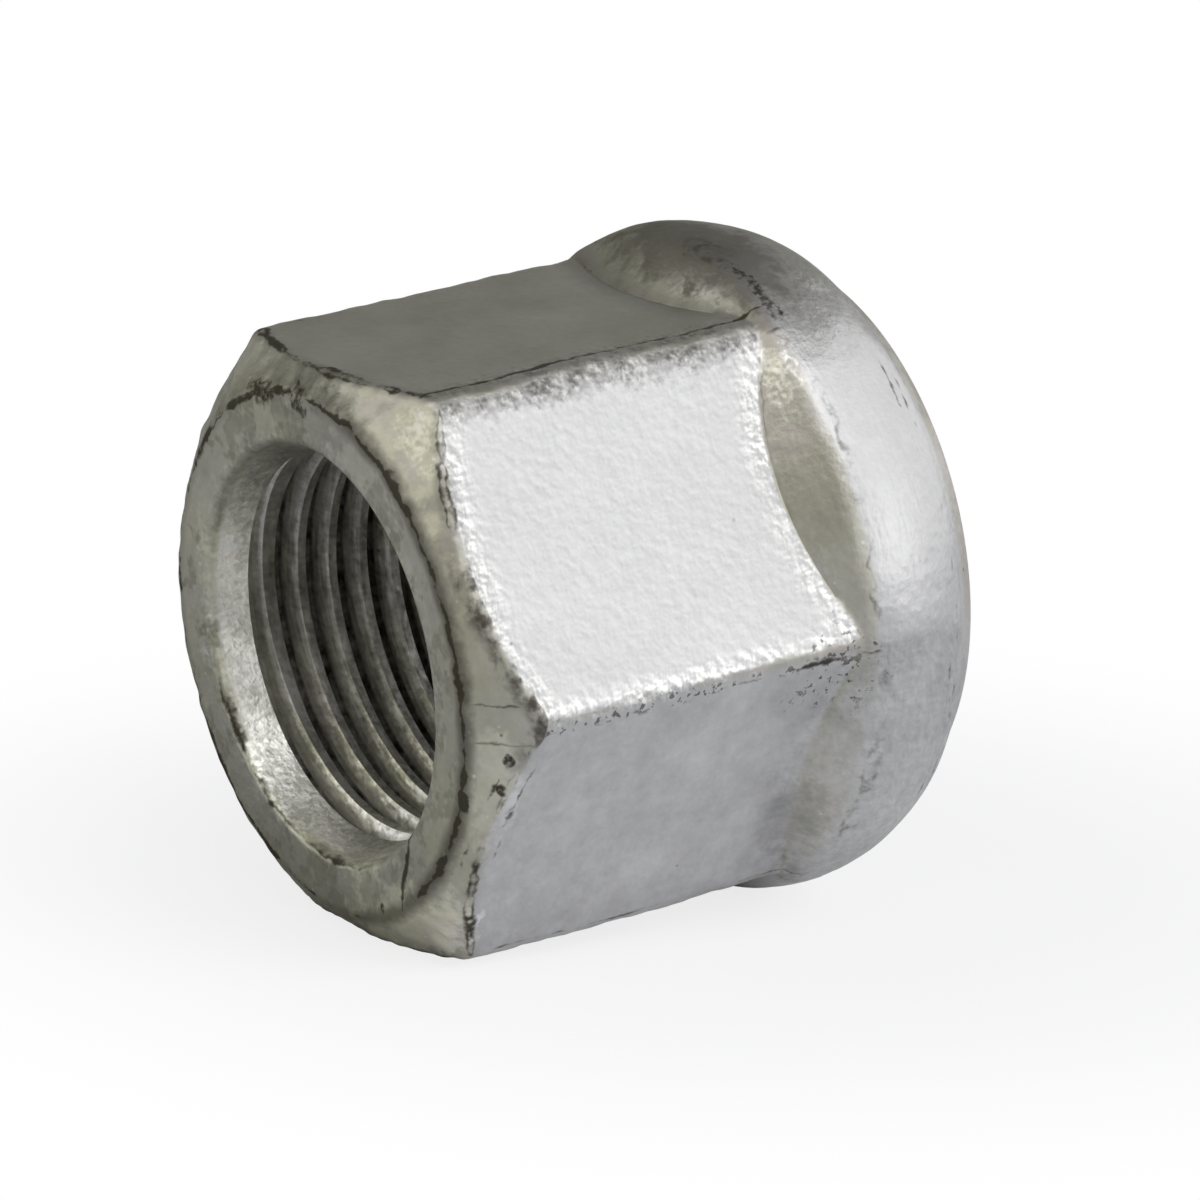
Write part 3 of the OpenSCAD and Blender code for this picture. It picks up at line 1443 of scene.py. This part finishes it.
        # painted highlights and bright specks lighten the colour, painted light and shade scale it,
        # dirt and painted shade darken it
        highlights_and_specks, dirt_and_shade = self.paint_highlights_and_specks(spot), self.dirt_and_shade(spot)
        colour = spot.mix(highlights_and_specks * 0.85, self.plating(spot), self.highlight_and_speck_colour)
        lit = spot.vector("SCALE", colour)
        tree.links.new(self.tone_and_painted_light(spot).value, lit.inputs["Scale"])
        rough = spot.cloud * 0.10 + spot.fine * 0.10 + dirt_and_shade * 0.35 + self.roughness - highlights_and_specks * 0.08
        sockets = {
            # dirt and painted shade pull the colour towards the dark tint
            "Base Color": spot.mix(dirt_and_shade, lit.outputs[0], self.grime_and_shade),
            "Roughness": rough.value,
            "Normal": self.relief(spot),
        }
        for name, socket in sockets.items():
            tree.links.new(socket, shader.inputs[name])
        return material


# ----------------------------------------------------------------------------- studio


def add_object(name: str, data: bpy.types.ID) -> Object:
    """Add an object that holds a lamp or a camera.

    Args:
        name: Name of the object.
        data: The lamp or camera.

    Returns:
        The object.
    """
    obj = bpy.data.objects.new(name, data)
    bpy.context.scene.collection.objects.link(obj)
    return obj


def aim_from(obj: Object, towards: Place, distance: float) -> None:
    """Place an object round the nut with its back, +Z, turned away from it.

    Args:
        obj: The lamp or card.
        towards: Direction from the nut to the object.
        distance: Distance from the nut's middle in metres.
    """
    direction = Vector(towards).normalized()
    obj.location = direction * distance + Vector(NUT_MIDDLE) * MM
    obj.rotation_mode = "QUATERNION"
    obj.rotation_quaternion = direction.to_track_quat("Z", "Y")


def seen_by(tree: Tree, *rays: Ray) -> Field:
    """Tell some kinds of ray from the rest.

    Args:
        tree: The node tree.
        *rays: The kinds of ray.

    Returns:
        1 for these rays and 0 for others.
    """
    path = tree.nodes.new("ShaderNodeLightPath")
    first, *others = (Field(tree, path.outputs[ray.value]) for ray in rays)
    return first.highest(*others)


def mix_shaders(tree: Tree, share: Field, low: Socket, high: Socket) -> Socket:
    """Blend two shaders.

    Args:
        tree: The node tree.
        share: Share of the second shader.
        low: First shader.
        high: Second shader.

    Returns:
        The blended shader.
    """
    node = tree.nodes.new("ShaderNodeMixShader")
    for socket, source in zip(node.inputs, (share.value, low, high)):
        tree.links.new(source, socket)
    return node.outputs[0]


@dataclass(frozen=True)
class Softbox:
    """A soft square lamp that looks at the nut.

    Attributes:
        name: Name of the lamp.
        towards: Direction from the nut to the lamp.
        distance: Distance in metres.
        size: Side of the square in metres.
        power: Power in watts.
        glossy: Whether the metal shows the lamp itself.
    """

    name: str
    towards: Place
    distance: float
    size: float
    power: float
    glossy: bool = True

    def place(self) -> None:
        """Add the lamp to the scene."""
        lamp = bpy.data.lights.new(self.name, "AREA")
        lamp.shape, lamp.size, lamp.energy = "SQUARE", self.size, self.power
        obj = add_object(self.name, lamp)
        obj.visible_glossy = self.glossy
        aim_from(obj, self.towards, self.distance)


@dataclass(frozen=True)
class Card:
    """A screen that the metal reflects and the camera doesn't see.

    Attributes:
        name: Name of the screen.
        towards: Direction from the nut to the screen.
        distance: Distance in metres.
        width: Width in metres.
        height: Height in metres.
        colour: Colour that the metal sees, where 1 is white.
    """

    name: str
    towards: Place
    distance: float
    width: float
    height: float
    colour: Colour

    def place(self) -> None:
        """Add the screen to the scene."""
        deselect_all()
        bpy.ops.mesh.primitive_plane_add(size=1)
        obj = bpy.context.active_object
        obj.name = self.name
        aim_from(obj, self.towards, self.distance)
        obj.scale = (self.width, self.height, 1)
        material, tree = new_material(self.name)
        tree.nodes.remove(tree.nodes["Principled BSDF"])
        glow = tree.nodes.new("ShaderNodeEmission")
        glow.inputs["Color"].default_value = (*self.colour, 1)
        tree.links.new(glow.outputs[0], tree.nodes["Material Output"].inputs["Surface"])
        obj.data.materials.append(material)
        obj.visible_camera = obj.visible_diffuse = obj.visible_shadow = False


@dataclass(frozen=True)
class Floor:
    """A plain pale floor that the camera sees as white but for the nut's shadow.

    Attributes:
        name: Name of the floor and of its material.
        normal: Its upward direction, as the nut rests on its collar and a front edge.
        touch: A place on it in mm.
        radius: Its radius in metres.
        sides: Vertices of its rim.
        colour: Its colour.
        fade: Distances in metres from that place, between which the shadow goes.
        white: Share of plain white in what the camera sees under the nut.
    """

    name: str = "floor"
    normal: Place = (0.0, 0.1134, 0.9936)
    touch: Place = (0.0, -3.4, -14.20)
    radius: float = 0.6
    sides: int = 96
    colour: Colour = (0.72, 0.72, 0.73)
    fade: Point = (0.012, 0.045)
    white: float = 0.8

    def material(self) -> bpy.types.Material:
        """Make the floor's material.

        Returns:
            The material.
        """
        material, tree = new_material(self.name)
        shader = tree.nodes["Principled BSDF"]
        shader.inputs["Base Color"].default_value = (*self.colour, 1)
        shader.inputs["Roughness"].default_value = 1.0
        glow = tree.nodes.new("ShaderNodeEmission")
        place = tree.nodes.new("ShaderNodeTexCoord")
        length = tree.nodes.new("ShaderNodeVectorMath")
        length.operation = "LENGTH"
        tree.links.new(place.outputs["Object"], length.inputs[0])
        away = Field(tree, length.outputs["Value"]).ramp(*self.fade)
        white = away * (1.0 - self.white) + self.white
        faint = mix_shaders(tree, white, shader.outputs[0], glow.outputs[0])
        seen = mix_shaders(tree, seen_by(tree, Ray.CAMERA), shader.outputs[0], faint)
        tree.links.new(seen, tree.nodes["Material Output"].inputs["Surface"])
        return material

    def place(self) -> None:
        """Lay the floor under the nut."""
        deselect_all()
        bpy.ops.mesh.primitive_circle_add(vertices=self.sides, radius=self.radius, fill_type="NGON")
        obj = bpy.context.active_object
        obj.name = self.name
        obj.rotation_mode = "QUATERNION"
        obj.rotation_quaternion = Vector(self.normal).to_track_quat("Z", "Y")
        obj.location = Vector(self.touch) * MM
        obj.data.materials.append(self.material())


@dataclass(frozen=True)
class Viewpoint:
    """The camera.

    Attributes:
        azimuth: Side of the nut that the camera stands on, in degrees.
        elevation: Height of the camera over the nut's own level, in degrees.
        roll: Turn of the camera about its line of sight, in degrees.
        target: Centre of the end face in mm.
        distance: Distance of the camera from the target in mm.
        aim: Right and up offset of the target from the middle of the picture, in mm.
        lens: Focal length in mm.
        sensor: Width of the sensor in mm.
        clip: Nearest and farthest distance that it sees, in metres.
    """

    azimuth: float = 57.665
    elevation: float = 18.082
    roll: float = -3.024
    target: Place = (0.0, -22.8, 0.0)
    distance: float = 354.8
    aim: Point = (-11.466, -2.213)
    lens: float = 262.5
    sensor: float = 36.0
    clip: Point = (0.01, 10.0)

    def place(self) -> None:
        """Add the camera to the scene."""
        around, up = math.radians(self.azimuth), math.radians(self.elevation)
        roll = math.radians(self.roll)
        right = Vector((math.cos(around), math.sin(around), 0))
        level = Vector((math.sin(around), -math.cos(around), 0))
        back = level * math.cos(up) + Vector((0, 0, math.sin(up)))
        over = back.cross(right)
        x_axis = right * math.cos(roll) + over * math.sin(roll)
        y_axis = over * math.cos(roll) - right * math.sin(roll)
        data = bpy.data.cameras.new("camera")
        data.lens, data.sensor_width = self.lens, self.sensor
        data.clip_start, data.clip_end = self.clip
        obj = add_object("camera", data)
        away = back * self.distance - x_axis * self.aim[0] - y_axis * self.aim[1]
        turn = Matrix((x_axis, y_axis, back)).transposed().to_4x4()
        obj.matrix_world = Matrix.Translation((Vector(self.target) + away) * MM) @ turn
        bpy.context.scene.camera = obj


@dataclass(frozen=True)
class Surroundings:
    """A soft grey light all round, which camera and metal see as white.

    Attributes:
        colour: Colour of the light.
        strength: Its strength.
    """

    colour: Colour = (0.92, 0.95, 1.0)
    strength: float = 0.25

    def place(self) -> None:
        """Make them the scene's world."""
        world = bpy.data.worlds.new("studio")
        bpy.context.scene.world = world
        world.use_nodes = True
        tree = world.node_tree
        soft = tree.nodes["Background"]
        soft.inputs["Color"].default_value = (*self.colour, 1)
        soft.inputs["Strength"].default_value = self.strength
        white = tree.nodes.new("ShaderNodeBackground")
        white.inputs["Color"].default_value = (1, 1, 1, 1)
        both = mix_shaders(tree, seen_by(tree, *Ray), soft.outputs[0], white.outputs[0])
        tree.links.new(both, tree.nodes["World Output"].inputs["Surface"])


STUDIO = (
    Viewpoint(),
    Surroundings(),
    Floor(),
    Softbox("key", (0.72, 0.42, 0.50), 0.6, 0.35, 2.6, glossy=False),
    Softbox("window", (0.67, 0.51, 0.54), 0.6, 0.5, 0.13),
    Softbox("side", (0.86, 0.50, 0.16), 0.6, 0.22, 0.10),
    Softbox("over", (0.50, -0.15, 0.85), 0.6, 0.25, 0.22),
    Card("dark_screen", (-0.84, 0.22, 0.42), 0.5, 1.0, 0.8, (0.17, 0.17, 0.145)),
    Card("top_screen", (-0.45, 0.31, 0.84), 0.5, 0.6, 0.6, (0.15, 0.145, 0.125)),
    Card("front_screen", (0.35, -0.90, 0.25), 0.5, 0.7, 0.5, (0.35, 0.34, 0.28)),
    Card("cream_screen", (-0.25, -0.77, 0.56), 0.45, 0.25, 0.3, (0.95, 0.93, 0.74)),
)


def main() -> None:
    """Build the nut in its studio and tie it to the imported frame."""
    logging.basicConfig(level=logging.INFO, format="%(name)s: %(message)s")
    design = WheelNut()
    nut = design.build()
    nut.data.materials.append(ZincSteel().material(design))
    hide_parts("wheel_nut")
    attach(nut, "root")
    LOG.info("%s: %d faces", nut.name, len(nut.data.polygons))
    bpy.context.scene.view_settings.view_transform = "Standard"
    for item in STUDIO:
        item.place()


if __name__ == "__main__":
    main()
